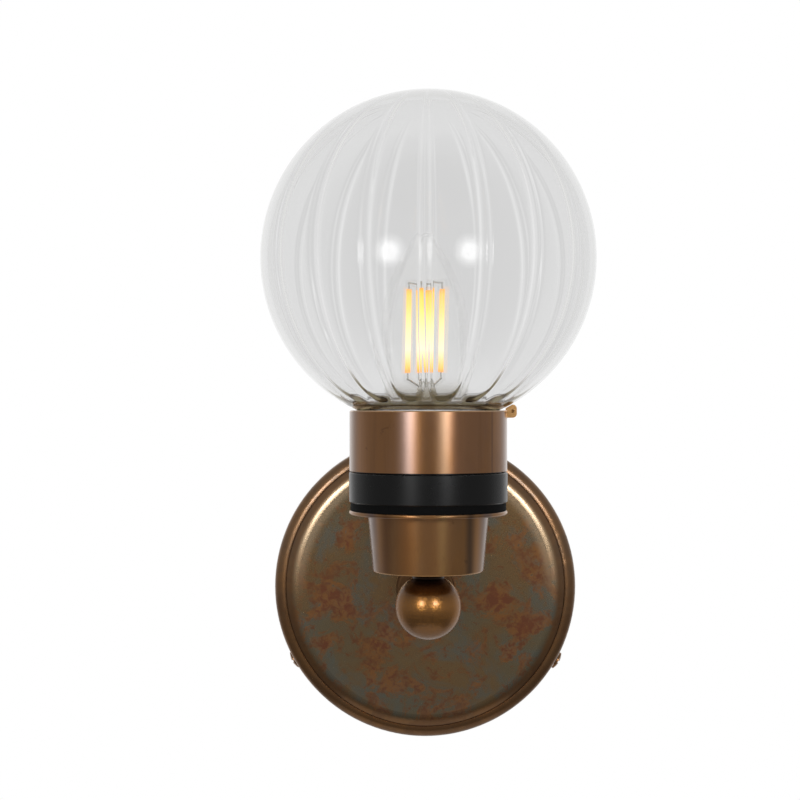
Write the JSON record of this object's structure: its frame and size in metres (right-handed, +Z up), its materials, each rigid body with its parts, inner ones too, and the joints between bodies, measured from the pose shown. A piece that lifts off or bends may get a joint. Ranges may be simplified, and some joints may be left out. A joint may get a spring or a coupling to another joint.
{
  "type": "wall light",
  "caption": "Sealed wall light with a clear ribbed glass globe on a threaded brass collar, a tapered cup, a ball on a short arm and a round stepped backplate.",
  "frame": {"origin": "centre of the two wall slots, on the wall behind the centre of the backplate", "axes": "+X to the right, +Y into the wall, so the light stands out along -Y, +Z up along the lamp"},
  "size_m": [0.12, 0.1491, 0.2442],
  "materials": {
    "patinated_brass": "mottled brown and grey-green patina, waxed",
    "aged_brass": "satin antique brass, lacquered",
    "satin_collar_brass": "satin antique brass with a copper tone",
    "raw_brass": "unpolished brass",
    "bright_brass": "machined",
    "zinc_steel": "zinc plated",
    "black_nylon": "moulded, fine satin",
    "black_rubber": "matt",
    "white_nylon": "moulded",
    "white_ceramic": "unglazed",
    "brown_insulation": "smooth",
    "blue_insulation": "smooth",
    "green_insulation": "smooth, with a yellow stripe",
    "nickel_cap": "nickel plated, satin",
    "black_cap_glass": "opaque black glass",
    "bulb_glass": "thin clear glass",
    "clear_glass": "clear, ribbed inside",
    "lit_filament": "phosphor coating, glowing"
  },
  "bodies": {
    "fixture": {"backplate": "patinated_brass", "wall_bracket": "zinc_steel", "rim_screws": "aged_brass", "terminal_block": "white_nylon", "terminal_screws": "bright_brass", "block_screw": "zinc_steel", "earth_screw": "bright_brass", "live_wire": "brown_insulation", "neutral_wire": "blue_insulation", "earth_wire": "green_insulation", "arm_boss": "aged_brass", "arm_tube": "aged_brass", "threaded_rod": "bright_brass", "arm_nut": "bright_brass", "arm_washer": "zinc_steel", "ball": "aged_brass", "neck_nipple": "bright_brass", "cup_nut": "bright_brass", "cup": "aged_brass", "flange_gasket": "black_rubber", "holder_ring": "black_nylon", "holder_screws": "zinc_steel", "neck_gasket": "black_rubber", "lampholder": "black_nylon", "contact_base": "white_ceramic", "lampholder_shell": "bright_brass", "centre_contact": "bright_brass", "bulb_cap": "nickel_cap", "cap_insulator": "black_cap_glass", "cap_contact": "nickel_cap", "bulb_glass": "bulb_glass", "bulb_stem": "bulb_glass", "filaments": "lit_filament", "filament_leads": "nickel_cap"},
    "clamp_ring": {"split_ring": "zinc_steel"},
    "screw_collar": {"collar": "satin_collar_brass", "collar_lug": "raw_brass", "cushion_ring": "black_rubber", "globe": "clear_glass"}
  },
  "joints": [
    {"name": "globe_rise", "type": "slide", "parent": "fixture", "child": "clamp_ring", "axis": [0, 0, 1], "range_m": [0, 0.006]},
    {"name": "collar_turn", "type": "hinge", "parent": "clamp_ring", "child": "screw_collar", "pos_m": [0, -0.0895, 0.06], "axis": [0, 0, 1], "range_deg": [0, 1080]}
  ],
  "couplings": [
    {"joint": "globe_rise", "follows": "collar_turn", "m_per_rad": 0.00031831}
  ]
}
